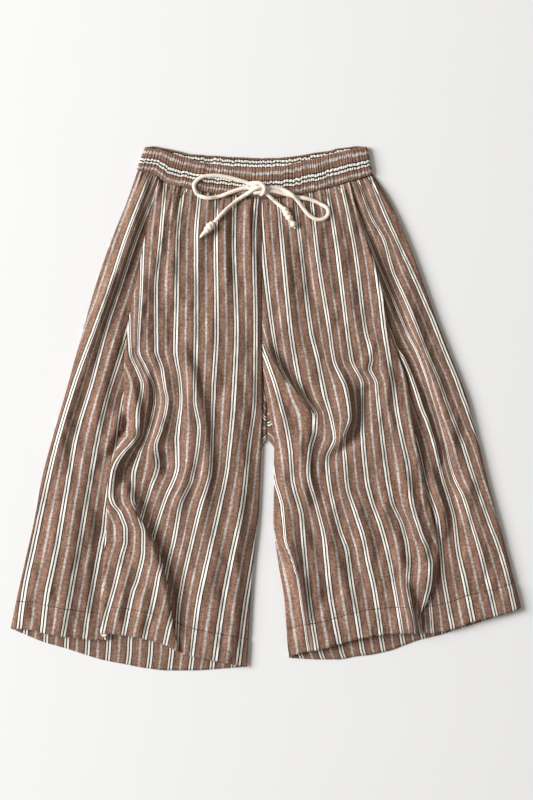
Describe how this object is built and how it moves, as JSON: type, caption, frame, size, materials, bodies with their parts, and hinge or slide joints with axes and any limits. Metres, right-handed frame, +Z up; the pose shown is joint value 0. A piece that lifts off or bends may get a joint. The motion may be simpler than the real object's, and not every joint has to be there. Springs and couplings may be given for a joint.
{
  "type": "pleated bermuda shorts",
  "caption": "Wide-leg striped linen shorts with a deep pleat in each front, a gathered elastic waistband and a tied drawstring, laid flat on a surface.",
  "frame": {"origin": "on the surface that the shorts lie on, under the middle of their outline", "axes": "+Z up off the surface, +Y towards the waist, +X to the right of someone who looks down on the front"},
  "size_m": [0.6936, 0.712, 0.0198],
  "materials": {
    "linen": "striped slubby plain weave, matt",
    "cord": "undyed cotton cord, matt"
  },
  "bodies": {
    "root": {"front_left": "linen", "front_right": "linen", "back_left": "linen", "back_right": "linen", "waistband": "linen", "bow_knot": "cord", "bow_loop_left": "cord", "bow_loop_right": "cord", "cord_tail_left": "cord", "cord_tail_right": "cord", "tail_knot_left": "cord", "tail_knot_right": "cord"}
  },
  "joints": []
}
